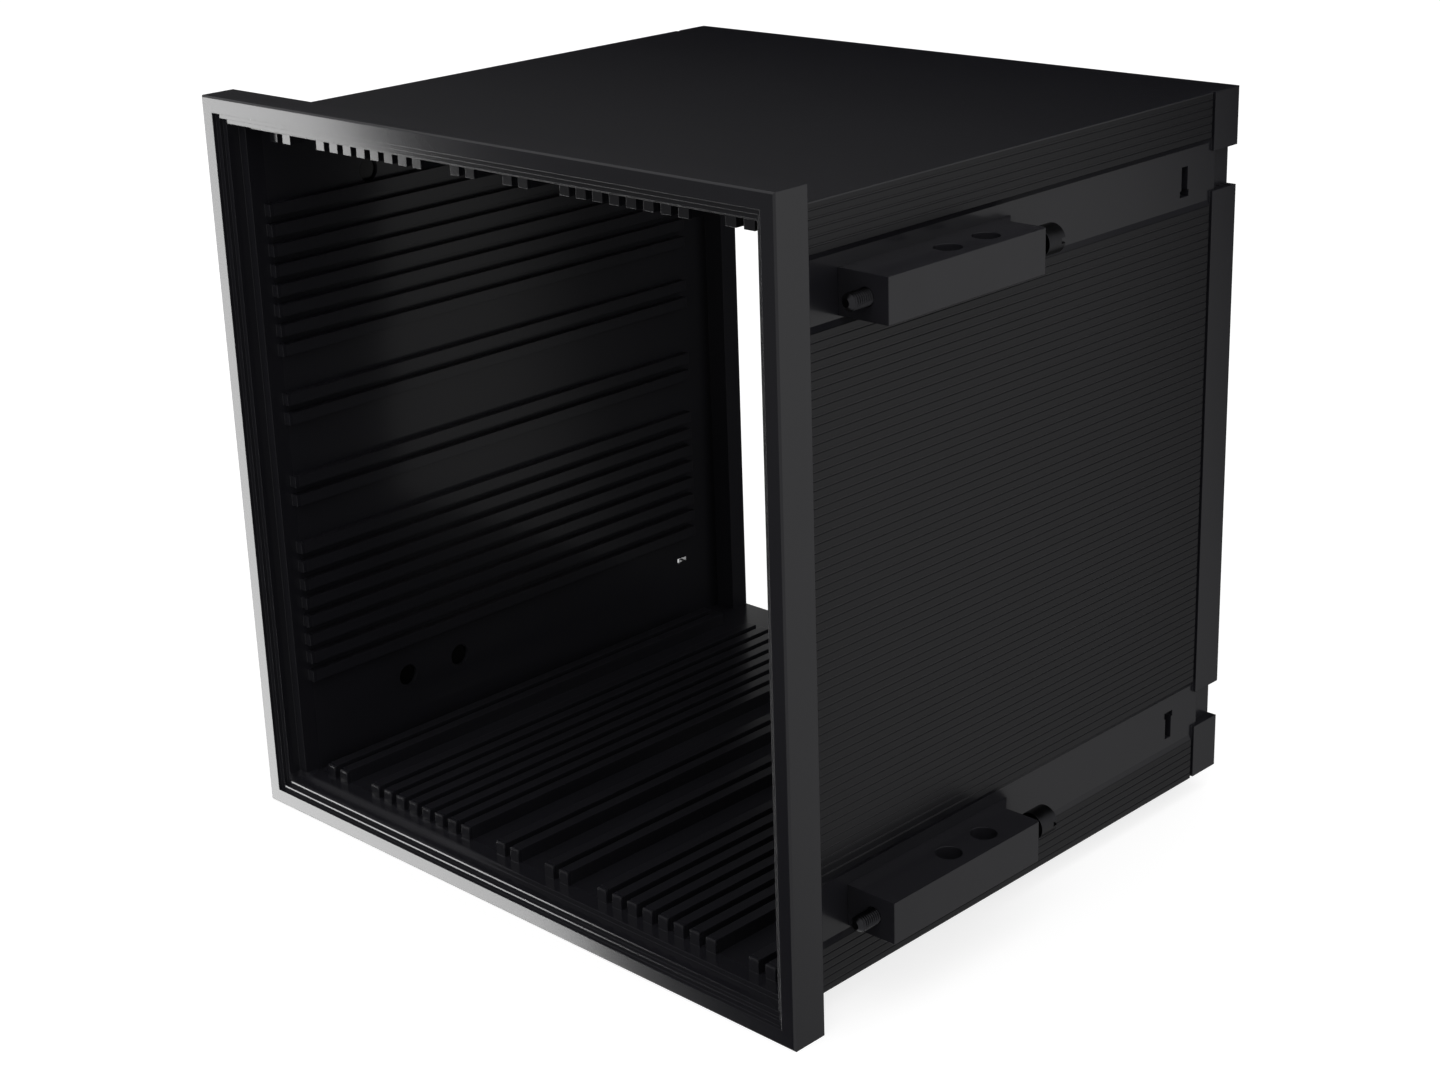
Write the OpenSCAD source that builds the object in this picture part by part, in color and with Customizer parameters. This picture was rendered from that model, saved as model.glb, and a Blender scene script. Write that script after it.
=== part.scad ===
// Panel mount enclosure: one moulded housing, open at both ends, that is pushed through a square panel cut-out
// from the front and held by four clamp blocks, each with a long screw that presses on the back of the panel.
// All sizes are in millimetres. The origin is the middle of the cut-out, in the plane where the bezel meets the
// panel: +X is right as seen from the front, +Y goes into the panel and +Z is up.

/* [Panel and bezel] */
// Width and height of the square cut-out in the panel
cutout_w = 138; // [110:1:186]
// How far the bezel covers the panel on each side of the cut-out
bezel_lap = 3; // [2:0.25:6]
// Gap between the body and the cut-out on each side
body_play = 1.25; // [0.5:0.25:2]
// Depth of the bezel in front of the panel
bezel_d = 7.25; // [6:0.25:12]
// Width of the flat rim on the front of the bezel
rim_w = 3; // [2:0.25:4]
// Width of each of the two ledges that seat a front plate
ledge_w = 1; // [0.5:0.25:1.5]
// Depth of each ledge
ledge_d = 0.8; // [0.4:0.1:1.5]
// Length of the smooth sleeve behind the ledges
sleeve_l = 2.6; // [1:0.1:3]
// Break of the bezel's outer edges
bezel_edge = 0.3; // [0.1:0.1:0.6]

/* [Body] */
// Depth of the body behind the panel
body_d = 121.5; // [90:0.5:200]
// Thickness of the top and bottom walls
top_wall = 1.75; // [1.2:0.05:3]
// Thickness of the side walls, without the outer ribs
side_wall = 2.15; // [1.2:0.05:3]
// Height of the ribbed zones on the side walls above the clamp channels
fine_h = 0.6; // [0.4:0.05:1.2]
// Distance from one fine outer rib to the next
fine_pitch = 1.5; // [1.2:0.05:3]
// Width of the groove between fine ribs at its mouth
fine_gap = 0.35; // [0.3:0.05:1]
// Depth of the groove between fine ribs
fine_depth = 0.15; // [0.1:0.05:0.4]
// Run of each sloped flank of a fine groove
fine_flank = 0.1; // [0.05:0.05:0.14]

/* [Card guides] */
// Thickness of the circuit boards that the guides hold, with play
card_slot = 1.6; // [1.2:0.1:2.4]
// Width of a guide rib
guide_w = 2.3; // [1.5:0.1:4]
// Height of the guide ribs on the top and bottom walls
guide_top_h = 2.6; // [1.2:0.1:4]
// Height of the guide ribs on the side walls
guide_side_h = 1.6; // [0.8:0.1:3]
// Setback of the guides' front ends from the bezel's front face
guide_setback = 7; // [6:0.25:15]
// Clear length behind the guides, up to the rear edge
guide_tail = 12.75; // [6:0.25:30]
// Distance of each pair of top and bottom guides from the middle and from the side walls
pair_inset = 6.75; // [5:0.25:10]
// Distance from the middle of a pair to the nearest rib of the next group
group_gap = 11.8; // [8:0.1:20]
// Height of the middle of the side guides above the middle of the body
side_mid = 2.5; // [0:0.25:4]
// Distance of each pair of side guides from that middle
side_pair = 8.35; // [6:0.25:12]
// Gap between the outermost side guide's middle and the middle of the clamp channel
channel_gap = 3.3; // [3:0.05:8]

/* [Clamp channels] */
// Distance of a channel's middle from the body's top or bottom face
channel_inset = 14.45; // [10:0.05:25]
// Height of a channel
channel_h = 10.5; // [9:0.1:14]
// Run of the sloped upper and lower sides of a channel
channel_flank = 1; // [0.1:0.1:1.2]
// Distance of the cover slots from the rear edge
slot_tail = 15.75; // [10:0.25:25]
// How far the cover slots sit below the channels' middles
slot_drop = 0.6; // [0:0.1:1]
// Width of a cover slot's stem
slot_w = 1.9; // [1:0.1:3]
// Wall that is left behind a cover slot's stem
slot_skin = 0.7; // [0.4:0.1:1]
// Length of a cover slot
slot_l = 5.5; // [4:0.1:7]
// Width of a cover slot's head
slot_head_w = 2.7; // [2:0.1:4]
// Length of a cover slot's head
slot_head_l = 1.2; // [0.8:0.1:2]

/* [Rear band] */
// Depth of the plain band at the rear
band_d = 7.55; // [5:0.05:12]
// Width of the groove in front of the band
band_groove = 0.9; // [0.5:0.1:2]
// Height of the screwdriver notches in the band
notch_h = 7.4; // [6:0.1:9]
// Wall that is left behind a notch
notch_wall = 0.8; // [0.6:0.1:1.2]
// Distance from the rear edge to the step down in a notch
notch_d = 6.2; // [4:0.1:7]
// Length of the sloped step in a notch
notch_ramp = 1.2; // [0.5:0.1:3]
// Depth of the inner rear flanges
flange_d = 4.45; // [3:0.05:8]
// How far the rear flanges stand into the opening
flange_w = 4.9; // [3:0.1:8]

/* [Clamps] */
// Distance from the panel plane to the front of a clamp block
clamp_front = 11.85; // [9:0.05:20]
// Length of a clamp block
clamp_l = 39.7; // [30:0.1:60]
// Height of a clamp block
clamp_h = 7.7; // [6.6:0.1:9]
// How far a clamp block stands out of its channel
clamp_out = 10.25; // [9:0.05:14]
// Height of a block's middle below its pegs
clamp_drop = 0.9; // [0:0.05:1]
// Least gap between a block and the upper or lower side of its channel
clamp_play = 0.3; // [0.1:0.05:0.5]
// Length of the sloped foot behind a block
foot_l = 3.6; // [2:0.1:4]
// How far that foot reaches out of the channel
foot_w = 2.7; // [1.5:0.1:4]
// Least gap between a foot and the screw's head
foot_play = 0.3; // [0.2:0.05:0.5]
// Break of a block's outer rear edge
clamp_edge = 0.5; // [0.1:0.1:1]
// Distance between the two pegs of a clamp
peg_pitch = 14; // [10:0.5:24]
// Diameter of the peg holes in the housing
peg_hole_d = 4.5; // [3:0.1:5]
// Gap around a peg in its hole
peg_play = 0.1; // [0.05:0.05:0.3]
// Distance of a peg's end from the inside of the wall
peg_short = 0.6; // [0.2:0.1:1]
// Diameter of the round windows in a block's upper face, down to the screw's bore
window_d = 4.8; // [3:0.1:6]
// Distance from the rear of a block to its first window
window_tail = 10.2; // [6:0.1:15]
// Distance between the two windows
window_pitch = 9.6; // [6:0.1:14]

/* [Clamp screws] */
// Diameter of the screw
screw_d = 3; // [2.5:0.5:4]
// Gap around the screw in its threaded bore
screw_play = 0.08; // [0.02:0.01:0.1]
// Distance of the screw's axis from the floor of the channel
screw_out = 5.65; // [5:0.05:7]
// Gap between the panel plane and the screw's tip as set
screw_reach = 7.2; // [3:0.05:11]
// Gap between the block and the screw's head as set
head_gap = 3.3; // [1:0.1:10]
// Diameter of the screw's head
head_d = 5.2; // [4.6:0.1:6]
// Length of the screw's head
head_l = 4.9; // [2.5:0.1:8]
// Length of the cone at the screw's tip
tip_cone = 0.8; // [0.2:0.1:1]
// Bevel on the end of the screw's head
head_bevel = 0.6; // [0.2:0.1:1]
// Width of the driver slot
driver_w = 1; // [0.6:0.1:1.6]
// Depth of the driver slot
driver_depth = 1.6; // [0.8:0.1:2.5]

/* [Hidden] */
// Smoothness of round forms
$fn = 48;
// Overrun of every cut past the faces that it opens
cut = 1;
// Slack against rounding where whole ribs are counted
count_slack = 0.02;
// Colours of the sheet views
plastic_colour = [0.07, 0.07, 0.08];
clamp_colour = [0.11, 0.11, 0.12];
screw_colour = [0.2, 0.2, 0.21];

// Half sizes of the square forms, measured from the middle of the cut-out
bezel_half = cutout_w / 2 + bezel_lap;
body_half = cutout_w / 2 - body_play;
rim_half = bezel_half - rim_w;
sleeve_half = rim_half - 2 * ledge_w;
top_half = body_half - top_wall;
fine_floor = body_half - fine_depth;
channel_floor = body_half - fine_h;
side_half = channel_floor - side_wall;

// Stations along the depth
bezel_front = -bezel_d;
sleeve_end = bezel_front + 2 * ledge_d + sleeve_l;
guide_start = bezel_front + guide_setback;
guide_end = body_d - guide_tail;
band_start = body_d - band_d;
groove_start = band_start - band_groove;
flange_start = body_d - flange_d;
slot_y = body_d - slot_tail;
notch_start = body_d - notch_d;

// Card guides: every list holds the middles of the ribs
guide_pitch = guide_w + card_slot;
pair = [-guide_pitch / 2, guide_pitch / 2];
half_bay = side_half / 2;
top_group_n = floor((side_half - 2 * (pair_inset + group_gap)) / guide_pitch + count_slack) + 1;
top_guides_half = concat(
    [for (p = pair) pair_inset + p],
    [for (i = [0:top_group_n - 1]) half_bay + (i - (top_group_n - 1) / 2) * guide_pitch],
    [for (p = pair) side_half - pair_inset + p]
);
top_guides = mirrored_row(top_guides_half);
channel_z = body_half - channel_inset;
side_first = side_pair + group_gap;
side_group_n = floor((channel_z - channel_gap - side_mid - side_first) / guide_pitch + count_slack) + 1;
side_guides_half = concat(
    [for (p = pair) side_pair + p],
    [for (i = [0:side_group_n - 1]) side_first + i * guide_pitch]
);
side_guides = [for (z = mirrored_row(side_guides_half)) side_mid + z];

// Clamps and screws
clamp_rear = clamp_front + clamp_l;
clamp_mid = (clamp_front + clamp_rear) / 2;
block_drop = min(clamp_drop, (channel_h - clamp_h) / 2 - clamp_play);
foot_out = min(foot_w, screw_out - head_d / 2 - foot_play);
peg_r = peg_hole_d / 2 - peg_play;
screw_r = screw_d / 2;
bore_r = screw_r + screw_play;
screw_x = channel_floor + screw_out;
head_start = clamp_rear + head_gap;
screw_end = head_start + head_l;

// A rising row of middles with its mirror image below zero
function mirrored_row(v) = concat([for (i = [len(v) - 1:-1:0]) -v[i]], v);

// Outline of the fine outer ribs between heights a and b: whole ribs at about the fine pitch
function ribbed_zone(a, b) =
    let (
        n = max(1, round((b - a + fine_gap) / fine_pitch)),
        land = (b - a - (n - 1) * fine_gap) / n
    )
    [for (i = [0:n - 1]) let (start = a + i * (land + fine_gap)) each concat(
        i == 0 ? [] : [[fine_floor, start - fine_flank]],
        [[body_half, start], [body_half, start + land]],
        i == n - 1 ? [] : [[fine_floor, start + land + fine_flank]]
    )];

// Right-hand outline of the body's section from bottom to top: ribbed zones parted by the smooth clamp channels
function right_outline() =
    let (
        low = channel_z - channel_h / 2,
        high = channel_z + channel_h / 2
    )
    concat(
        ribbed_zone(-body_half, -high - channel_flank),
        [[channel_floor, -high], [channel_floor, -low]],
        ribbed_zone(channel_flank - low, low - channel_flank),
        [[channel_floor, low], [channel_floor, high]],
        ribbed_zone(high + channel_flank, body_half)
    );

// The same outline turned half round about the depth axis
function turned(points) = [for (p = points) -p];

// One edge of the core that shapes the cavity, with a notch for each guide rib: middles, wall and rib tip given
function toothed_edge(middles, wall, tip) = [for (m = middles) each [
    [m - guide_w / 2, wall], [m - guide_w / 2, tip], [m + guide_w / 2, tip], [m + guide_w / 2, wall]
]];

// Swaps the two coordinates of every point, and a list's order
function swapped(points) = [for (p = points) [p[1], p[0]]];
function reversed(points) = [for (i = [len(points) - 1:-1:0]) points[i]];

// Section of the core through the guides, counter-clockwise from the lower left corner
function core_outline() =
    let (
        floor_edge = toothed_edge(top_guides, -top_half, -top_half + guide_top_h),
        roof_edge = toothed_edge(top_guides, top_half, top_half - guide_top_h),
        right_edge = swapped(toothed_edge(side_guides, side_half, side_half - guide_side_h)),
        left_edge = swapped(toothed_edge(side_guides, -side_half, -side_half + guide_side_h))
    )
    concat(
        [[-side_half, -top_half]], floor_edge,
        [[side_half, -top_half]], right_edge,
        [[side_half, top_half]], reversed(roof_edge),
        [[-side_half, top_half]], reversed(left_edge)
    );

// Stands a section drawn in X and Z along the depth, from y0 to y1
module along_y(y0, y1) {
    translate([0, y1, 0])
        rotate([90, 0, 0])
            linear_extrude(height = y1 - y0)
                children();
}

// Copies a form to the four clamp channels, with the right upper one as drawn
module at_channels() {
    for (side = [0, 1])
        mirror([side, 0, 0])
            for (low = [0, 1])
                mirror([0, 0, low])
                    translate([0, 0, channel_z])
                        children();
}

module bezel_blank() {
    difference() {
        along_y(bezel_front, 0)
            square(2 * bezel_half, center = true);
        for (turn = [0:90:270])
            rotate([0, turn, 0])
                bezel_break();
    }
}

// Bevel along one outer front edge of the bezel
module bezel_break() {
    translate([-bezel_half - cut, bezel_front, bezel_half])
        rotate([90, 0, 90])
            linear_extrude(height = 2 * (bezel_half + cut))
                polygon([[-cut, cut], [-cut, -bezel_edge - cut], [bezel_edge + cut, cut]]);
}

module body_blank() {
    along_y(-cut, body_d)
        polygon(concat(right_outline(), turned(right_outline())));
}

// Stepped opening in the front: rim, two ledges and the sleeve
module front_opening() {
    along_y(bezel_front - cut, bezel_front + ledge_d)
        square(2 * rim_half, center = true);
    along_y(bezel_front - cut, bezel_front + 2 * ledge_d)
        square(2 * (rim_half - ledge_w), center = true);
    along_y(bezel_front - cut, sleeve_end)
        square(2 * sleeve_half, center = true);
}

// Core of the mould: plain before and behind the guides, notched along them, narrower between the rear flanges
module core() {
    along_y(sleeve_end - cut, guide_start)
        square([2 * side_half, 2 * top_half], center = true);
    along_y(guide_start - cut, guide_end)
        polygon(core_outline());
    along_y(guide_end, flange_start)
        square([2 * side_half, 2 * top_half], center = true);
    along_y(flange_start - cut, body_d + cut)
        square([2 * (side_half - flange_w), 2 * top_half], center = true);
}

// Groove that parts the ribbed sides from the rear band
module band_grooves() {
    for (side = [0, 1])
        mirror([side, 0, 0])
            translate([channel_floor, groove_start, -body_half - cut])
                cube([fine_h + cut, band_groove, 2 * (body_half + cut)]);
}

// Band behind the groove: plain between the notches
module rear_band() {
    along_y(band_start, body_d)
        square(2 * body_half, center = true);
}

// Notch in the band for the screwdriver's way to a clamp screw: level with the channel floor, then a step down
module driver_notch() {
    floor_x = side_half + notch_wall;
    translate([0, 0, -notch_h / 2])
        linear_extrude(height = notch_h)
            polygon([
                [channel_floor, groove_start], [channel_floor, notch_start],
                [floor_x, notch_start + notch_ramp], [floor_x, body_d + cut],
                [body_half + cut, body_d + cut], [body_half + cut, groove_start]
            ]);
}

// Slot for a rear cover's hook: a blind stem, and a wider head through the wall, nearest the body's middle
module cover_slot() {
    translate([side_half + slot_skin, slot_y - slot_w / 2, -slot_l / 2])
        cube([side_wall - slot_skin + cut, slot_w, slot_l]);
    translate([side_half - cut, slot_y - slot_head_w / 2, -slot_l / 2])
        cube([side_wall + 2 * cut, slot_head_w, slot_head_l]);
}

module peg_holes() {
    for (side = [-1, 1])
        translate([side_half - cut, clamp_mid + side * peg_pitch / 2, 0])
            rotate([0, 90, 0])
                cylinder(d = peg_hole_d, h = side_wall + 2 * cut);
}

module housing() {
    color(plastic_colour)
        difference() {
            union() {
                bezel_blank();
                body_blank();
                rear_band();
            }
            front_opening();
            core();
            band_grooves();
            at_channels() {
                driver_notch();
                peg_holes();
            }
            translate([0, 0, -slot_drop])
                at_channels()
                    cover_slot();
        }
}

// Clamp block for the right-hand upper channel, drawn with its pegs at the channel's middle
module clamp() {
    x_out = channel_floor + clamp_out;
    color(clamp_colour) {
        difference() {
            translate([0, 0, -block_drop - clamp_h / 2])
                linear_extrude(height = clamp_h)
                    polygon([
                        [channel_floor, clamp_front], [x_out, clamp_front], [x_out, clamp_rear - clamp_edge],
                        [x_out - clamp_edge, clamp_rear], [channel_floor + foot_out, clamp_rear],
                        [channel_floor, clamp_rear + foot_l]
                    ]);
            translate([screw_x, clamp_rear + cut, -block_drop])
                rotate([90, 0, 0])
                    cylinder(r = bore_r, h = clamp_l + 2 * cut);
            for (i = [0, 1])
                translate([screw_x, clamp_rear - window_tail - i * window_pitch, -block_drop])
                    cylinder(d = window_d, h = clamp_h / 2 + cut);
        }
        for (side = [-1, 1])
            translate([side_half + peg_short, clamp_mid + side * peg_pitch / 2, 0])
                rotate([0, 90, 0])
                    cylinder(r = peg_r, h = side_wall - peg_short);
    }
}

// Clamp screw for the right-hand upper channel: tip towards the panel, slotted head at the rear
module screw() {
    color(screw_colour)
        translate([screw_x, 0, -block_drop])
            difference() {
                rotate([-90, 0, 0]) {
                    translate([0, 0, screw_reach])
                        cylinder(r1 = screw_r - tip_cone, r2 = screw_r, h = tip_cone);
                    translate([0, 0, screw_reach + tip_cone])
                        cylinder(r = screw_r, h = head_start - screw_reach - tip_cone);
                    translate([0, 0, head_start])
                        cylinder(d = head_d, h = head_l - head_bevel);
                    translate([0, 0, screw_end - head_bevel])
                        cylinder(d1 = head_d, d2 = head_d - 2 * head_bevel, h = head_bevel);
                }
                translate([-head_d, screw_end - driver_depth, -driver_w / 2])
                    cube([2 * head_d, driver_depth + cut, driver_w]);
            }
}

// The four clamps and screws: the lower pair is the same form set lower, and the left pairs are mirror images
module at_corner(side, level) {
    mirror([side < 0 ? 1 : 0, 0, 0])
        translate([0, 0, level * channel_z])
            children();
}

module clamp_right_upper() {
    at_corner(1, 1)
        clamp();
}

module clamp_right_lower() {
    at_corner(1, -1)
        clamp();
}

module clamp_left_upper() {
    at_corner(-1, 1)
        clamp();
}

module clamp_left_lower() {
    at_corner(-1, -1)
        clamp();
}

module screw_right_upper() {
    at_corner(1, 1)
        screw();
}

module screw_right_lower() {
    at_corner(1, -1)
        screw();
}

module screw_left_upper() {
    at_corner(-1, 1)
        screw();
}

module screw_left_lower() {
    at_corner(-1, -1)
        screw();
}

housing();
clamp_right_upper();
clamp_right_lower();
clamp_left_upper();
clamp_left_lower();
screw_right_upper();
screw_right_lower();
screw_left_upper();
screw_left_lower();
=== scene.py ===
# %% [markdown]
# # Panel mount enclosure
# A deep square housing, moulded in one piece in black plastic, is pushed through a square hole in a control panel.
# Four clamp blocks plug into its sides, and a long screw in each block presses on the back of the panel.
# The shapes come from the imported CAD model, which is loaded first and never changed. This script gives it its
# finishes, makes the screws again with real threads, and sets up the studio in which it is seen.

import math

import bmesh
import bpy
import numpy as np
from mathutils import Matrix, Vector


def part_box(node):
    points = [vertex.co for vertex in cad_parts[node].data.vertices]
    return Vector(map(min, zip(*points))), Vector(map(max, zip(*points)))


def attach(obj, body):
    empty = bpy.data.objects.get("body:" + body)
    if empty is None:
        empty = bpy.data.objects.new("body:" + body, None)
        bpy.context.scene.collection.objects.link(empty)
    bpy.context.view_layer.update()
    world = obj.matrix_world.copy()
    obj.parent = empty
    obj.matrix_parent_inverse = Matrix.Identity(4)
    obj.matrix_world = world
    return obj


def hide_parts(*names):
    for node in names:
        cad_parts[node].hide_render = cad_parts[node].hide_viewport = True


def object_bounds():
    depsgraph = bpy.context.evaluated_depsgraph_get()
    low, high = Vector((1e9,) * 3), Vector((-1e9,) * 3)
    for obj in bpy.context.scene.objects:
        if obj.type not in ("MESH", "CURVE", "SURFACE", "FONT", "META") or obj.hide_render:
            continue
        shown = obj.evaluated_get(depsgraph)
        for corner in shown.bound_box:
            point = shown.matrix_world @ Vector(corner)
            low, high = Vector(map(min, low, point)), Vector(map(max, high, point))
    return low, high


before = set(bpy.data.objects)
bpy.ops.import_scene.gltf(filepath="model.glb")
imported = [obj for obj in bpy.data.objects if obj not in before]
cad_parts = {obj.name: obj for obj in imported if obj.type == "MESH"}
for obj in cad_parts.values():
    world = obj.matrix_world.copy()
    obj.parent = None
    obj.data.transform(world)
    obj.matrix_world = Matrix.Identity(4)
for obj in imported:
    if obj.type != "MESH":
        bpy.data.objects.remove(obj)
cad_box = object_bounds()
print("nodes:", sorted(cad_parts))

# %% [markdown]
# ## The camera
# A camera is a place, a direction and a lens. The view looks at the front from the right and from a little above, so
# the direction is given as two angles, with a small roll about the line of sight. The three axes of the camera are
# worked out from these angles and become the columns of its matrix. That is more exact than aiming it by hand or with
# a Track To constraint, which can't roll. The small shift slides the picture in its frame without turning the camera.

# %% Camera
MM = 0.001
PICTURE_W = 1440
SENSOR_W_MM = 36.0
FOCAL_PX = 2482.98
VIEW_TURN, VIEW_LIFT, VIEW_ROLL = (math.radians(v) for v in (45.988, 19.303, -2.411))
VIEW_PLACE = Vector((314.53, -267.34, 150.39)) * MM
FRAME_SHIFT = (0.04231, -0.03036)


def direction(turn, lift):
    """Unit vector towards a place seen at an angle round the object and a lift above the horizon, both in radians.
    A turn of 0 is straight in front of the object and a positive turn goes to its right."""
    return Vector((math.sin(turn) * math.cos(lift), -math.cos(turn) * math.cos(lift), math.sin(lift)))


back = direction(VIEW_TURN, VIEW_LIFT)
right = Vector((math.cos(VIEW_TURN), math.sin(VIEW_TURN), 0.0))
up = back.cross(right)
rolled_right = math.cos(VIEW_ROLL) * right + math.sin(VIEW_ROLL) * up
rolled_up = math.cos(VIEW_ROLL) * up - math.sin(VIEW_ROLL) * right
axes = Matrix((rolled_right, rolled_up, back)).transposed().to_4x4()

lens = bpy.data.cameras.new("view_lens")
lens.sensor_fit = "HORIZONTAL"
lens.sensor_width = SENSOR_W_MM
lens.lens = FOCAL_PX * SENSOR_W_MM / PICTURE_W
lens.shift_x, lens.shift_y = FRAME_SHIFT
lens.clip_start = 0.01
camera = bpy.data.objects.new("view_camera", lens)
camera.matrix_world = Matrix.Translation(VIEW_PLACE) @ axes
bpy.context.scene.collection.objects.link(camera)
bpy.context.scene.camera = camera
print(f"lens {lens.lens:.2f} mm, {VIEW_PLACE.length * 1000:.0f} mm from the cut-out's middle")

# %% [markdown]
# ## Small helpers for nodes and meshes
# Every material below is a graph of nodes. A few short functions keep the graphs readable. The first adds a node
# and sets its inputs, where an input that is given another node's output gets linked. The others use it for sums, for
# places and for the kind of ray, and one turns arrays of points and faces into a mesh object.

# %% Helpers


def add_node(tree, kind, inputs=None, **settings):
    """Adds a node of a kind to a tree, sets its properties, and fills its inputs by name or number.
    A value that is an output socket is linked, and any other value is written on the socket."""
    made = tree.nodes.new(kind)
    for name, value in settings.items():
        setattr(made, name, value)
    for key, value in (inputs or {}).items():
        socket = made.inputs[key]
        if isinstance(value, bpy.types.NodeSocket):
            tree.links.new(value, socket)
        else:
            socket.default_value = value
    return made


def maths(tree, operation, *values, clamp=False):
    """The result of a Math node on sockets or plain numbers."""
    made = add_node(tree, "ShaderNodeMath", dict(enumerate(values)), operation=operation, use_clamp=clamp)
    return made.outputs[0]


def place_on(tree):
    """The place of a shaded point in its object's own coordinates, split into X, Y and Z."""
    return add_node(tree, "ShaderNodeSeparateXYZ", {0: add_node(tree, "ShaderNodeTexCoord").outputs["Object"]})


def mesh_object(name, points, faces):
    """A mesh object at the origin from an array of points and a list or array of faces."""
    mesh = bpy.data.meshes.new(name)
    mesh.from_pydata(np.asarray(points).tolist(), [], np.asarray(faces).tolist())
    mesh.update()
    made = bpy.data.objects.new(name, mesh)
    bpy.context.scene.collection.objects.link(made)
    return made


def shows_directly(tree):
    """1 where a ray comes from the camera, from a mirror-like surface or through glass, and 0 for soft light."""
    path = add_node(tree, "ShaderNodeLightPath")
    seen = maths(tree, "MAXIMUM", path.outputs["Is Camera Ray"], path.outputs["Is Glossy Ray"])
    return maths(tree, "MAXIMUM", seen, path.outputs["Is Transmission Ray"])


# %% [markdown]
# ## A white studio
# The product stands on white with next to no shadow. If the light alone had to make the floor white, it would be far
# too strong for a black object, so the white is painted in: rays that come straight from the camera, or by way of a
# gloss, see a world of strength 1. The rays that carry soft light see a plainer level, at which a colour renders about
# as it is written. The floor is pale and adds its own glow for the same rays, and what is left of its shading is the
# object's soft shadow.

# %% World and floor
WHITE = (1.0, 1.0, 1.0, 1.0)
SOFT_LEVEL = 0.72
FLOOR_TONE = (0.42, 0.42, 0.42, 1.0)
FLOOR_GLOW = 0.78
FLOOR_HALF = 6.0

world = bpy.data.worlds.new("white_studio")
world.use_nodes = True
sky = world.node_tree
sky.nodes.clear()
soft_sky = add_node(sky, "ShaderNodeBackground", {"Color": WHITE, "Strength": SOFT_LEVEL})
white_sky = add_node(sky, "ShaderNodeBackground", {"Color": WHITE, "Strength": 1.0})
chosen_sky = add_node(sky, "ShaderNodeMixShader",
                      {0: shows_directly(sky), 1: soft_sky.outputs[0], 2: white_sky.outputs[0]})
add_node(sky, "ShaderNodeOutputWorld", {"Surface": chosen_sky.outputs[0]})
bpy.context.scene.world = world

floor_z = cad_box[0][2]
floor = mesh_object("studio_floor",
                    [(x * FLOOR_HALF, y * FLOOR_HALF, floor_z) for x, y in ((-1, -1), (1, -1), (1, 1), (-1, 1))],
                    [(0, 1, 2, 3)])
floor_paint = bpy.data.materials.new("studio_floor_white")
floor_paint.use_nodes = True
tree = floor_paint.node_tree
tree.nodes.clear()
shaded = add_node(tree, "ShaderNodeBsdfDiffuse", {"Color": FLOOR_TONE})
glow_on = maths(tree, "MULTIPLY", shows_directly(tree), FLOOR_GLOW)
glow = add_node(tree, "ShaderNodeEmission", {"Color": WHITE, "Strength": glow_on})
floor_look = add_node(tree, "ShaderNodeAddShader", {0: shaded.outputs[0], 1: glow.outputs[0]})
add_node(tree, "ShaderNodeOutputMaterial", {"Surface": floor_look.outputs[0]})
floor.data.materials.append(floor_paint)
floor.visible_glossy = False
print(f"floor at {floor_z * 1000:.1f} mm, seen white with a glow of {FLOOR_GLOW}")

# %% [markdown]
# ## Softbox and cards
# Black gloss shows its surroundings more than its own colour, so a photographer places cards where the faces mirror
# them. A narrow softbox low on the left puts the bright sweep on the front frame, and a dim card round it, a little
# lighter towards its top, keeps the right half of the frame dark. Each card is a flat quad that only glossy rays can
# see, so it neither shows in the picture nor lights anything softly.

# %% Softbox and cards


def studio_card(name, points, strength):
    """A flat card through four points in metres that glows evenly with a strength, or stays black at 0. Returns the
    graph of its paint and the glowing node in it."""
    card = mesh_object(name, points, [(0, 1, 2, 3)])
    paint = bpy.data.materials.new(name + "_light")
    paint.use_nodes = True
    graph = paint.node_tree
    graph.nodes.clear()
    light = add_node(graph, "ShaderNodeEmission", {"Color": WHITE, "Strength": strength})
    add_node(graph, "ShaderNodeOutputMaterial", {"Surface": light.outputs[0]})
    card.data.materials.append(paint)
    card.visible_camera = card.visible_diffuse = card.visible_shadow = False
    card.visible_transmission = card.visible_volume_scatter = False
    return graph, light


def ramp(graph, value, low, high, bottom, top):
    """A value's straight way from bottom to top while it goes from low to high, and level beyond."""
    made = add_node(graph, "ShaderNodeMapRange", {"Value": value, "From Min": low, "From Max": high,
                                                  "To Min": bottom, "To Max": top}, clamp=True)
    return made.outputs["Result"]


SOFTBOX_GLOW = 10.3
SOFTBOX_CORNERS = [(-0.760, -0.5455, -0.02), (-0.490, -0.522, -0.70), (-0.806, -0.371, -0.70), (-0.868, -0.413, -0.02)]
FRONT_CORNERS = [(-0.50, -1.87, 0.41), (-0.18, -0.97, -1.71), (-0.94, -0.34, -1.71), (-1.84, -0.59, 0.41)]
FRONT_DARK_Z, FRONT_LIT_Z, FRONT_GLOW = -0.8, -0.3, 0.27

studio_card("softbox_low_left", SOFTBOX_CORNERS, SOFTBOX_GLOW)
graph, light = studio_card("card_front", FRONT_CORNERS, 0.0)
height = place_on(graph).outputs["Z"]
graph.links.new(ramp(graph, height, FRONT_DARK_Z, FRONT_LIT_Z, 0.0, FRONT_GLOW), light.inputs["Strength"])
print("front cards glow with", SOFTBOX_GLOW, "and up to", FRONT_GLOW)

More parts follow.
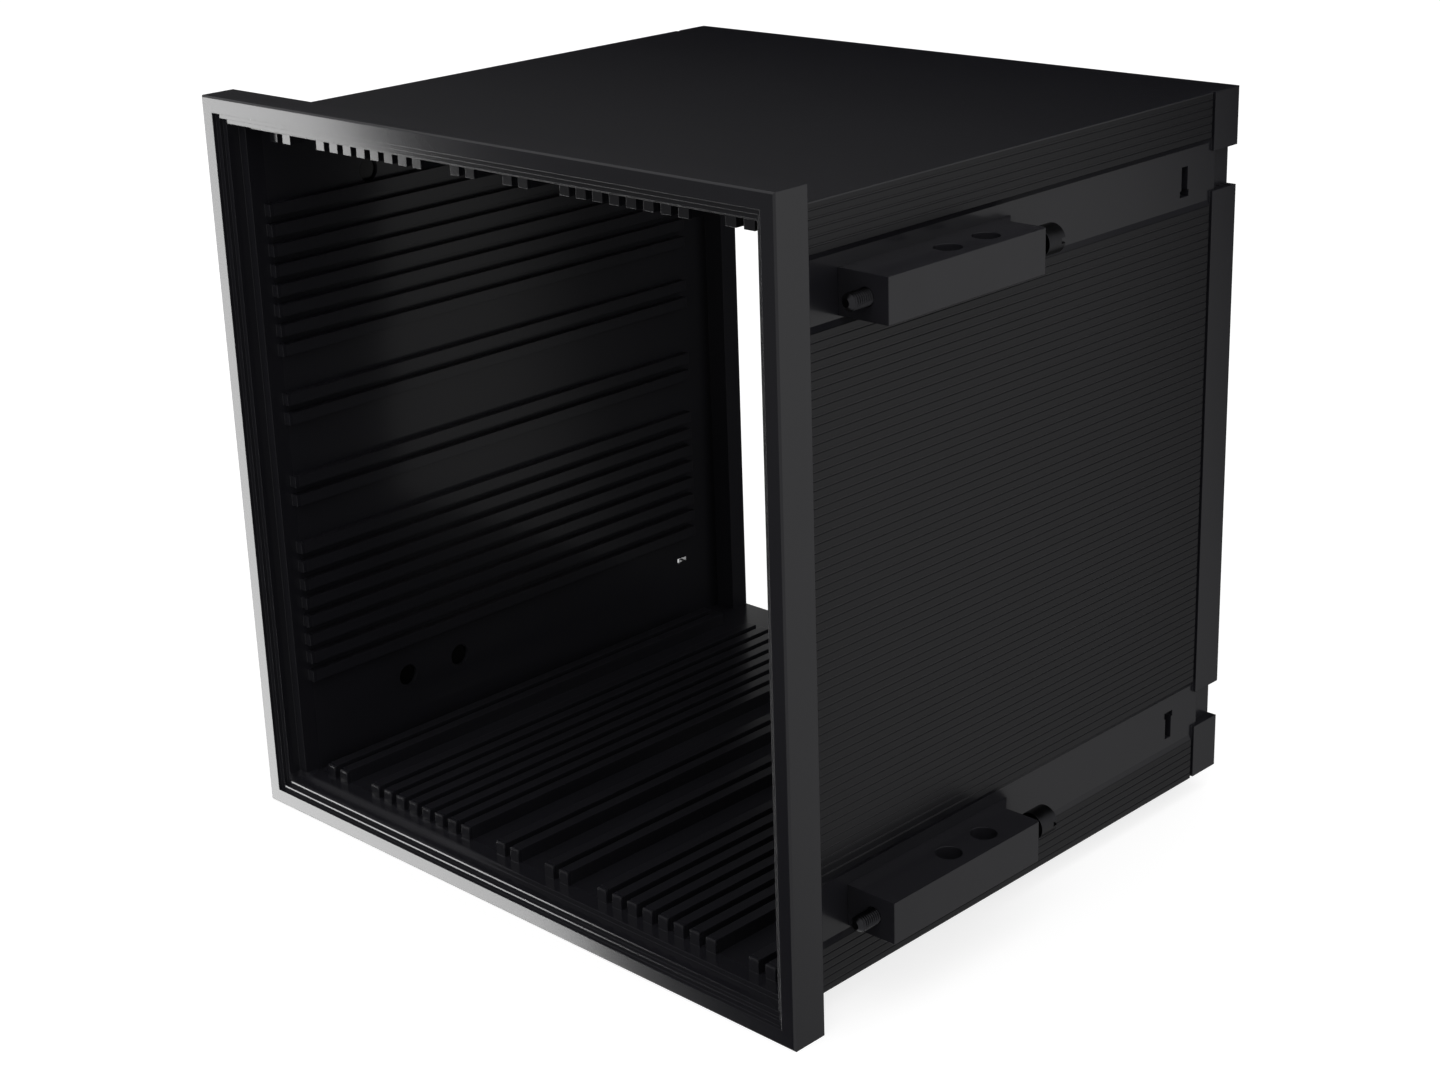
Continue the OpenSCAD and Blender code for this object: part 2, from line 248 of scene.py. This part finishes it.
# %% [markdown]
# ## The card behind
# The side walls mirror what stands behind the object. A tall card there goes from white at its sides to black in the
# middle along slanted edges, so the sides fade towards their rear. It could show a picture of a gradient, but two
# straight ramps, one after the other, are enough. The left half is white only low down, so the top of the housing,
# which mirrors its upper left part, stays nearly black but for a faint sheen. The whole card dims towards the floor.

# %% Card behind
CARD_Y, CARD_LEFT, CARD_RIGHT, CARD_LOW, CARD_HIGH = 0.25, -0.75, 0.6, -0.4, 0.45
SLANT = -0.22
BLACK_AT, GREY_AT, WHITE_AT = 0.134, 0.178, 0.338
GREY_GLOW, WHITE_MORE = 0.63, 0.6
LEFT_LIT_Z, LEFT_DARK_Z = -0.02, 0.06
FLOOR_SHARE = 0.16
SHEEN_LOW_Z, SHEEN_HIGH_Z, SHEEN_GLOW = 0.095, 0.14, 0.045

graph, light = studio_card("card_behind", [(CARD_LEFT, CARD_Y, CARD_LOW), (CARD_RIGHT, CARD_Y, CARD_LOW),
                                           (CARD_RIGHT, CARD_Y, CARD_HIGH), (CARD_LEFT, CARD_Y, CARD_HIGH)], 0.0)
spot = place_on(graph)
height = spot.outputs["Z"]
slanted = maths(graph, "MULTIPLY_ADD", height, SLANT, maths(graph, "ABSOLUTE", spot.outputs["X"]))
near_black = ramp(graph, slanted, BLACK_AT, GREY_AT, 0.0, GREY_GLOW)
near_white = ramp(graph, slanted, GREY_AT, WHITE_AT, 0.0, WHITE_MORE)
on_right = maths(graph, "GREATER_THAN", spot.outputs["X"], 0.0)
below = ramp(graph, height, LEFT_LIT_Z, LEFT_DARK_Z, 1.0, 0.0)
shown = maths(graph, "MAXIMUM", on_right, below)
across = maths(graph, "MULTIPLY", maths(graph, "ADD", near_black, near_white), shown)
fall = ramp(graph, height, CARD_LOW, 0.0, FLOOR_SHARE, 1.0)
sheen = ramp(graph, height, SHEEN_LOW_Z, SHEEN_HIGH_Z, 0.0, SHEEN_GLOW)
graph.links.new(maths(graph, "MULTIPLY_ADD", across, fall, sheen), light.inputs["Strength"])

# %% [markdown]
# ## Lamps
# One wide lamp above gives the soft shadow on the floor and a little more light on what faces up and to the front. An
# area lamp's power is spread over its surface, so a large lamp near a small object is soft without being strong. It is
# hidden from glossy rays, because the cards already decide what the gloss shows.

# %% Lamps


def soft_lamp(name, turn, lift, distance, size, watts):
    """A square area lamp at a turn and lift in degrees round the object, facing its middle."""
    lamp = bpy.data.lights.new(name, "AREA")
    lamp.shape = "SQUARE"
    lamp.size = size
    lamp.energy = watts
    made = bpy.data.objects.new(name, lamp)
    away = direction(math.radians(turn), math.radians(lift))
    middle = (Vector(cad_box[0]) + Vector(cad_box[1])) / 2
    made.location = middle + away * distance
    made.rotation_euler = away.to_track_quat("Z", "Y").to_euler()
    made.visible_glossy = False
    bpy.context.scene.collection.objects.link(made)
    return made


lamp_above = soft_lamp("lamp_above", turn=20, lift=62, distance=1.2, size=1.0, watts=3.0)
print(f"{lamp_above.name}: {lamp_above.data.energy:.1f} W over {lamp_above.data.size:.1f} m")

# %% [markdown]
# ## Shared effects: the skin
# Three effects turn up in more than one finish, so each is a node group that the materials place with their own values.
# The first is the skin of a moulding or a turned part: a fine grain, and broad clouds in which the tone and the gloss
# drift a little. One noise could do both, but the clouds are many times larger than the grain.

# %% Skin group


def shader_group(name, sockets_in, sockets_out):
    """An empty node group with named sockets; returns the group, its input node and its output node."""
    group = bpy.data.node_groups.new(name, "ShaderNodeTree")
    for label, kind, value in sockets_in:
        socket = group.interface.new_socket(name=label, in_out="INPUT", socket_type=kind)
        socket.default_value = value
    for label, kind in sockets_out:
        group.interface.new_socket(name=label, in_out="OUTPUT", socket_type=kind)
    return group, group.nodes.new("NodeGroupInput"), group.nodes.new("NodeGroupOutput")


FLOAT, COLOUR, VECTOR = "NodeSocketFloat", "NodeSocketColor", "NodeSocketVector"

skin_group, skin_in, skin_out = shader_group(
    "surface_skin",
    [("Colour", COLOUR, (0.01, 0.01, 0.01, 1.0)), ("Tone Drift", FLOAT, 0.1), ("Roughness", FLOAT, 0.25),
     ("Gloss Drift", FLOAT, 0.03), ("Clouds per Metre", FLOAT, 40.0), ("Grains per Metre", FLOAT, 3000.0)],
    [("Colour", COLOUR), ("Roughness", FLOAT), ("Grain", FLOAT)])
place = add_node(skin_group, "ShaderNodeTexCoord")
clouds = add_node(skin_group, "ShaderNodeTexNoise",
                  {"Vector": place.outputs["Object"], "Scale": skin_in.outputs["Clouds per Metre"], "Detail": 3.0})
grain = add_node(skin_group, "ShaderNodeTexNoise",
                 {"Vector": place.outputs["Object"], "Scale": skin_in.outputs["Grains per Metre"], "Detail": 2.0})
drift = maths(skin_group, "SUBTRACT", clouds.outputs["Fac"], 0.5)
tone = maths(skin_group, "MULTIPLY_ADD", drift, skin_in.outputs["Tone Drift"], 1.0)
toned = add_node(skin_group, "ShaderNodeVectorMath", {0: skin_in.outputs["Colour"], "Scale": tone}, operation="SCALE")
gloss = maths(skin_group, "MULTIPLY_ADD", drift, skin_in.outputs["Gloss Drift"], skin_in.outputs["Roughness"])
for label, socket in (("Colour", toned.outputs["Vector"]), ("Roughness", gloss), ("Grain", grain.outputs["Fac"])):
    skin_group.links.new(socket, skin_out.inputs[label])
print("group:", skin_group.name)

# %% [markdown]
# ## Shared effects: soft edges
# The second effect is the small radius that every real edge has. A Bevel modifier would cut it into the mesh, but the
# CAD meshes stay as they are. The Bevel node blends the normals of faces that meet instead, and how far the blended
# normal leans from the face's own gives a mask of the edges.

# %% Edge group
edge_group, edge_in, edge_out = shader_group(
    "soft_edges", [("Radius", FLOAT, 0.0002), ("Reach", FLOAT, 4.0)], [("Normal", VECTOR), ("Edge", FLOAT)])
rounded = add_node(edge_group, "ShaderNodeBevel", {"Radius": edge_in.outputs["Radius"]}, samples=6)
flat = add_node(edge_group, "ShaderNodeNewGeometry")
lean = add_node(edge_group, "ShaderNodeVectorMath",
                {0: rounded.outputs["Normal"], 1: flat.outputs["True Normal"]}, operation="DOT_PRODUCT")
off_face = maths(edge_group, "SUBTRACT", 1.0, lean.outputs["Value"])
mask = maths(edge_group, "MULTIPLY", off_face, edge_in.outputs["Reach"], clamp=True)
edge_group.links.new(rounded.outputs["Normal"], edge_out.inputs["Normal"])
edge_group.links.new(mask, edge_out.inputs["Edge"])
print("group:", edge_group.name)

# %% [markdown]
# ## Shared effects: zones of the mould
# The third effect is a map of the mould, which is polished in some places and blasted in others; the finishes also use
# its zones to say where they paint shade. It could be painted by hand on a UV map, but the zones have straight limits,
# so comparing a point's own coordinates with them is exact and needs no map.

# %% Zone group
BLAST_START, BLAST_FULL = -0.2 * MM, 0.6 * MM
zone_group, zone_in, zone_out = shader_group(
    "moulded_zones", [("Body Z", FLOAT, 0.1), ("Inner X", FLOAT, 0.1), ("Rib X", FLOAT, 0.1), ("Rear Y", FLOAT, 0.1)],
    [("Textured", FLOAT), ("Inside", FLOAT), ("Rib", FLOAT)])
spot = place_on(zone_group)
out = maths(zone_group, "ABSOLUTE", spot.outputs["X"])
rise = maths(zone_group, "ABSOLUTE", spot.outputs["Z"])
behind = ramp(zone_group, spot.outputs["Y"], BLAST_START, BLAST_FULL, 0.0, 1.0)
textured = maths(zone_group, "MULTIPLY", behind, maths(zone_group, "LESS_THAN", rise, zone_in.outputs["Body Z"]))
inside = maths(zone_group, "MULTIPLY", textured, maths(zone_group, "LESS_THAN", out, zone_in.outputs["Inner X"]))
before = maths(zone_group, "LESS_THAN", spot.outputs["Y"], zone_in.outputs["Rear Y"])
crest = maths(zone_group, "MULTIPLY", before, maths(zone_group, "GREATER_THAN", out, zone_in.outputs["Rib X"]))
rib = maths(zone_group, "MULTIPLY", textured, crest)
for label, socket in (("Textured", textured), ("Inside", inside), ("Rib", rib)):
    zone_group.links.new(socket, zone_out.inputs[label])
print("group:", zone_group.name)

# %% [markdown]
# ## One way to build every finish
# A single grey would look like paper, so each finish joins the groups round one Principled shader. The skin group lets
# the tone and the gloss drift, its grain goes to a very shallow bump, and the outer edges are smoother and a touch
# lighter, the lightness being a painted highlight on the plastics and wear of the oxide on the screws. Where a finish
# has zones, they change the roughness, the coat of gloss and the tone, which they darken as painted shade. One function
# with a few values is easier to keep right than three graphs drawn by hand.

# %% Finish builder


def in_box(tree, low, high, fade):
    """1 inside a box between two corners and 0 outside, with a fade for each axis, all in millimetres."""
    place = place_on(tree)
    inside = 1.0
    for axis, a, b, soft in zip("XYZ", low, high, fade):
        rise = ramp(tree, place.outputs[axis], a * MM, (a + soft) * MM, 0.0, 1.0)
        drop = ramp(tree, place.outputs[axis], (b - soft) * MM, b * MM, 1.0, 0.0)
        inside = maths(tree, "MULTIPLY", inside, maths(tree, "MULTIPLY", rise, drop))
    return inside


def finish_material(name, colour, roughness, metallic, specular, skin, edge, grain_depth, edge_highlight_and_wear_tone, edge_smooth,
                    zones=None, texture=0.0, rib_painted_shade=0.0, inside_painted_shade=0.0, coat=0.0, rounder=()):
    """A Principled material whose colour and roughness come from the skin group, with the edge mask smoothing it and
    lightening it, as a painted highlight on plastic and as wear of the oxide on metal, and whose normal is the grain's
    bump on top of the rounded edges. With zones, the textured ones are rougher, the edges inside stay plain, the crests
    of the ribs are painted darker as shade and lose the coat of gloss, the inside can be painted darker as shade, and
    each box in rounder adds to the radius of the edges in it."""
    made = bpy.data.materials.new(name)
    made.use_nodes = True
    graph = made.node_tree
    graph.nodes.clear()
    surface = add_node(graph, "ShaderNodeGroup",
                       {"Colour": (*colour, 1.0), "Roughness": roughness, **skin}, node_tree=skin_group)
    edges = add_node(graph, "ShaderNodeGroup", edge, node_tree=edge_group)
    edge_highlight_and_wear_mask, gloss, radius = edges.outputs["Edge"], coat, edge["Radius"]
    if zones:
        zone = add_node(graph, "ShaderNodeGroup", zones, node_tree=zone_group)
        edge_highlight_and_wear_mask = maths(graph, "MULTIPLY", edge_highlight_and_wear_mask, maths(graph, "SUBTRACT", 1.0, zone.outputs["Inside"]))
    # The edge mask lightens the colour: a painted highlight on the plastics, wear of the oxide on the screws.
    lighter = maths(graph, "MULTIPLY_ADD", edge_highlight_and_wear_mask, edge_highlight_and_wear_tone, 1.0)
    rough = maths(graph, "MULTIPLY_ADD", edge_highlight_and_wear_mask, -edge_smooth, surface.outputs["Roughness"])
    # The rib crests and the inside are painted darker as shade: the shade between the ribs and in the wall's holes.
    for mask, dark in (("Rib", rib_painted_shade), ("Inside", inside_painted_shade)):
        if dark:
            less = maths(graph, "MULTIPLY_ADD", zone.outputs[mask], -dark, 1.0)
            lighter = maths(graph, "MULTIPLY", lighter, less)
    if texture:
        rough = maths(graph, "MULTIPLY_ADD", zone.outputs["Textured"], texture, rough)
    if coat:
        gloss = maths(graph, "MULTIPLY_ADD", zone.outputs["Rib"], -coat, coat)
    for low, high, fade, more in rounder:
        radius = maths(graph, "MULTIPLY_ADD", in_box(graph, low, high, fade), more * MM, radius)
    if rounder:
        graph.links.new(radius, edges.inputs["Radius"])
    tone = add_node(graph, "ShaderNodeVectorMath", {0: surface.outputs["Colour"], "Scale": lighter}, operation="SCALE")
    bump = add_node(graph, "ShaderNodeBump", {"Height": surface.outputs["Grain"], "Normal": edges.outputs["Normal"],
                                              "Strength": 1.0, "Distance": grain_depth})
    shader = add_node(graph, "ShaderNodeBsdfPrincipled",
                      {"Base Color": tone.outputs["Vector"], "Roughness": rough, "Normal": bump.outputs["Normal"],
                       "Metallic": metallic, "Specular IOR Level": specular, "Coat Weight": gloss,
                       "Coat Roughness": roughness})
    add_node(graph, "ShaderNodeOutputMaterial", {"Surface": shader.outputs[0]})
    return made


# %% [markdown]
# ## Satin black plastic
# The housing is moulded in black plastic, so it is satin: reflections keep their place and lose their outline. The
# mould polishes its outer edges, and they are painted a touch lighter as a highlight. The bezel shines most, the walls
# behind it come from a blasted mould and are duller, and the crests of the outer ribs are dull and painted dark as the
# shade between the ribs. Where boards are led in, the front ends of the floor guides and the step before them have
# rounder edges. The clamps are a filled plastic with a coarser grain, and the ends of their pegs in the holes of the
# wall are painted dark as shade.

# %% Plastic materials
# Each lead-in is a box from a low to a high corner with its fades and its added radius, in millimetres.
GUIDE_TIPS = ((-67, -1.4, -64.5), (67, 1, -62), (1, 0.1, 0.2), 0.6)
FLOOR_STEP = ((-85, -5.6, -67.5), (2, -0.3, -65.5), (30, 0.1, 0.1), 2.6)

# The housing's rib crests are painted half as dark, as the shade between the ribs, and its edges lighter as a painted
# highlight.
housing_plastic = finish_material(
    "housing_plastic", (0.012, 0.0118, 0.0145), roughness=0.115, metallic=0.0, specular=0.15,
    skin={"Tone Drift": 0.25, "Gloss Drift": 0.04, "Clouds per Metre": 45.0, "Grains per Metre": 3500.0},
    edge={"Radius": 0.15 * MM, "Reach": 3.0}, grain_depth=0.002 * MM, edge_highlight_and_wear_tone=0.5, edge_smooth=0.03,
    zones={"Body Z": 67.5 * MM, "Inner X": 66.0 * MM, "Rib X": 67.65 * MM, "Rear Y": 113.1 * MM},
    texture=0.17, rib_painted_shade=0.5, coat=0.2, rounder=(GUIDE_TIPS, FLOOR_STEP))
# The clamp's peg ends are painted nine tenths darker as the shade in the wall's holes, and its edges lighter as a
# painted highlight.
clamp_plastic = finish_material(
    "clamp_plastic", (0.016, 0.0157, 0.0186), roughness=0.2, metallic=0.0, specular=0.2,
    skin={"Tone Drift": 0.35, "Gloss Drift": 0.07, "Clouds per Metre": 160.0, "Grains per Metre": 2600.0},
    edge={"Radius": 0.2 * MM, "Reach": 3.0}, grain_depth=0.003 * MM, edge_highlight_and_wear_tone=0.5, edge_smooth=0.04,
    zones={"Body Z": 1.0, "Inner X": 66.6 * MM, "Rib X": 1.0, "Rear Y": 0.0}, inside_painted_shade=0.9)


def paint_nodes(prefix, material):
    """Gives every CAD node whose name starts with a prefix one material in all its slots."""
    named = [o for n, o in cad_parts.items() if n.startswith(prefix)]
    for o in named:
        if not o.data.materials:
            o.data.materials.append(material)
        for i in range(len(o.data.materials)):
            o.data.materials[i] = material
    return [o.name for o in named]


print(housing_plastic.name, "on", paint_nodes("housing", housing_plastic))
print(clamp_plastic.name, "on", paint_nodes("clamp", clamp_plastic))

# %% [markdown]
# ## Clamp screws with real threads
# In the CAD model each screw is a plain rod of the thread's outer size, because a thread makes a heavy solid. Here the
# rod becomes a real screw: a three millimetre thread with its usual pitch, a cone at the tip that finds its place on
# the panel, and a slotted head. A screw modifier could wind a profile into a helix, but its ends are hard to close.
# Instead the thread is a height written on a grid: the radius at an angle and a place along the axis depends only on
# how far that point is along the winding. Head and slot are rows across the same circle, so all the parts share points.

# %% Thread and rows across the head
THREAD_R, THREAD_PITCH, THREAD_DEPTH = 1.5 * MM, 0.5 * MM, 0.3 * MM
CREST_SHARE, FLANK_END = 0.125, 0.75
ROWS_PER_TURN = 8
TIP_CONE, HEAD_R, HEAD_L, HEAD_BEVEL = 0.8 * MM, 2.6 * MM, 4.9 * MM, 0.6 * MM
SLOT_HALF, SLOT_DEPTH = 0.5 * MM, 1.6 * MM
OUTSIDE_SLOT, INSIDE_SLOT = 1.2, 0.8
COLUMN_STEPS = 24
ACROSS_STEPS = 12


def thread_radius(angle, along):
    """Radius of the thread: the phase is the place along the axis in pitches less the share of a turn, and the radius
    is high on a narrow crest, low on a wider root, and runs straight between them on the flanks."""
    phase = (along / THREAD_PITCH - angle / (2 * np.pi)) % 1.0
    off_crest = 2 * np.abs(phase - 0.5)
    height = np.clip((FLANK_END - off_crest) / (FLANK_END - CREST_SHARE), 0.0, 1.0)
    return THREAD_R - THREAD_DEPTH * (1.0 - height)


def grid_faces(rows, columns, closed):
    """Quads of a grid of rows by columns, numbered row by row, and wrapped round if it is closed."""
    r, c = np.meshgrid(np.arange(rows - 1), np.arange(columns if closed else columns - 1), indexing="ij")
    nxt = (c + 1) % columns
    here, above = r * columns, (r + 1) * columns
    return np.stack([here + c, here + nxt, above + nxt, above + c], -1).reshape(-1, 4)


def slot_rows():
    """Heights across the head from bottom to top, close to even steps of angle, with both edges of the slot twice;
    the second array says which of them belong to the slot."""
    even = HEAD_R * np.sin(np.linspace(-np.pi / 2, np.pi / 2, COLUMN_STEPS + 1))
    land = even[even > SLOT_HALF * OUTSIDE_SLOT]
    inside = even[np.abs(even) < SLOT_HALF * INSIDE_SLOT]
    rows = np.concatenate([-land[::-1], [-SLOT_HALF, -SLOT_HALF], inside, [SLOT_HALF, SLOT_HALF], land])
    in_slot = np.zeros(len(rows), bool)
    in_slot[len(land) + 1:len(rows) - len(land) - 1] = True
    return rows, in_slot


def end_rows(end):
    """Height, radius and place of each row across the end face: the rows on the land move in to the radius inside the
    bevel, and the rows of the slot stay where they are on its floor."""
    rows, in_slot = slot_rows()
    land_r = HEAD_R - HEAD_BEVEL
    shrunk = SLOT_HALF + (np.abs(rows) - SLOT_HALF) * (land_r - SLOT_HALF) / (HEAD_R - SLOT_HALF)
    row_z = np.where(in_slot, rows, np.sign(rows) * shrunk)
    return row_z, np.where(in_slot, HEAD_R, land_r), np.where(in_slot, end - SLOT_DEPTH, end)


def half_width(row_z, row_r):
    """Half the chord of a circle at a height: the square root of the radius squared less the height squared."""
    return np.sqrt(np.maximum(row_r ** 2 - row_z ** 2, 0.0))


def round_trip(up, sign=1):
    """Values up the right half of a circle, then the same values times a sign down its left half."""
    return np.concatenate([up, sign * up[::-1][1:-1]])


print(f"thread of {2 * THREAD_R / MM:.1f} mm, {len(slot_rows()[0])} rows across the head")

# %% [markdown]
# ## Two grids for one screw
# The side is a closed grid from the middle of the tip to the bevel of the head. Its columns go round the circle through
# the same heights as the rows of the end face, so both grids have the same points where they meet. The end face is a
# strip of rows, and where the slot begins and ends a row is put in at the rim, so the strip steps down a straight wall.

# %% Screw shape


def screw_side(start, end):
    """Points and faces of the side along Y: stations along the axis by columns round it, with a radius and a place for
    every grid point. The shank's radius is the thread's, or the cone's at the tip where that is less."""
    rows, in_slot = slot_rows()
    half_turn = np.arcsin(rows / HEAD_R)
    angle = np.concatenate([half_turn, np.pi - half_turn[::-1][1:-1]])
    ring = np.ones((1, len(angle)))
    head_y = end - HEAD_L
    stations = int(round((head_y - start) / THREAD_PITCH * ROWS_PER_TURN))
    along = np.linspace(start, head_y, stations + 1)[:, None] * ring
    shank_r = np.minimum(thread_radius(angle, along), THREAD_R - TIP_CONE + (along - start))
    rim_y = np.where(round_trip(in_slot) > 0, end - SLOT_DEPTH, end - HEAD_BEVEL)[None]
    radius = np.concatenate([0.0 * ring, shank_r, HEAD_R * ring, HEAD_R * ring, HEAD_R * ring])
    place_y = np.concatenate([start * ring, along, head_y * ring, (end - SLOT_DEPTH) * ring, rim_y])
    row_z, row_r, row_y = end_rows(end)
    bevel = np.stack([round_trip(half_width(row_z, row_r), -1), round_trip(row_y), round_trip(row_z)], -1)
    side = np.concatenate([np.stack([radius * np.cos(angle), place_y, radius * np.sin(angle)], -1), bevel[None]])
    faces = grid_faces(side.shape[0], side.shape[1], closed=True)
    twin_up, twin_down = (np.append(np.diff(r) == 0, False) for r in (rows, rows[::-1]))
    seam = np.concatenate([twin_up, twin_down[1:-1]])
    return side, faces[~seam[faces[:, 0] % side.shape[1]]]


def screw_end(end):
    """Points and faces of the end face: rows across the head by steps along each row, from edge to edge of the circle,
    with one more row at the rim where the slot's walls stand."""
    rows, _ = slot_rows()
    row_z, row_r, row_y = end_rows(end)
    walls = np.nonzero(np.diff(rows) == 0)[0] + 1
    row_z = np.insert(row_z, walls, rows[walls])
    row_y = np.insert(row_y, walls, end - HEAD_BEVEL)
    row_r = np.insert(row_r, walls, HEAD_R)
    across = np.linspace(-1, 1, ACROSS_STEPS + 1)
    level = np.ones_like(across)
    strip = np.stack([half_width(row_z, row_r)[:, None] * across, row_y[:, None] * level, row_z[:, None] * level], -1)
    return strip, grid_faces(strip.shape[0], strip.shape[1], closed=False)


def screw_mesh(start, end, axis_x, axis_z):
    """Points and faces of a whole screw: the two grids one after the other, moved to the screw's axis."""
    side, side_faces = screw_side(start, end)
    strip, strip_faces = screw_end(end)
    points = np.concatenate([side.reshape(-1, 3), strip.reshape(-1, 3)]) + [axis_x, 0.0, axis_z]
    return points, np.concatenate([side_faces, strip_faces + side.shape[0] * side.shape[1]])


print("points of the end face, rows by steps:", screw_end(0.0)[0].shape[:2])

# %% [markdown]
# ## Welding and the screws' finish
# The two grids meet point on point, so a weld by distance joins them into one closed skin, and the normals are turned
# outwards once it is closed. The edges of the thread and slot stay sharp, and the rest is shaded smooth. The finish is
# steel with a thin black oxide: a dark metal whose tone and gloss drift in small clouds.

# %% Screws
WELD = 0.002 * MM
SHARP_ANGLE = math.radians(28)


def weld_and_close(made):
    """Merges points that fall together, drops faces without area, and turns the normals of the closed skin outwards."""
    skin = bmesh.new()
    skin.from_mesh(made.data)
    bmesh.ops.remove_doubles(skin, verts=skin.verts, dist=WELD)
    bmesh.ops.dissolve_degenerate(skin, edges=skin.edges, dist=WELD)
    bmesh.ops.recalc_face_normals(skin, faces=skin.faces)
    open_edges = sum(1 for e in skin.edges if not e.is_manifold)
    skin.to_mesh(made.data)
    skin.free()
    made.data.polygons.foreach_set("use_smooth", np.ones(len(made.data.polygons), bool))
    made.data.set_sharp_from_angle(angle=SHARP_ANGLE)
    return open_edges


screw_steel = finish_material(
    "screw_steel", (0.022, 0.022, 0.024), roughness=0.34, metallic=1.0, specular=0.5,
    skin={"Tone Drift": 0.5, "Gloss Drift": 0.15, "Clouds per Metre": 600.0, "Grains per Metre": 9000.0},
    edge={"Radius": 0.1 * MM, "Reach": 3.0}, grain_depth=0.002 * MM, edge_highlight_and_wear_tone=0.8, edge_smooth=0.06)

for node in [n for n in sorted(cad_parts) if n.startswith("screw")]:
    low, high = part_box(node)
    points, faces = screw_mesh(low.y, high.y, (low.x + high.x) / 2, (low.z + high.z) / 2)
    screw = mesh_object(node + "_threaded", points, faces)
    open_edges = weld_and_close(screw)
    screw.data.materials.append(screw_steel)
    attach(screw, node)
    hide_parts(node)
    print(f"{screw.name}: {len(screw.data.polygons)} faces, {open_edges} open edges")

# %% [markdown]
# ## Colour management
# The colour management is set to the plain standard transform.

# %% Colour management
bpy.context.scene.view_settings.view_transform = "Standard"
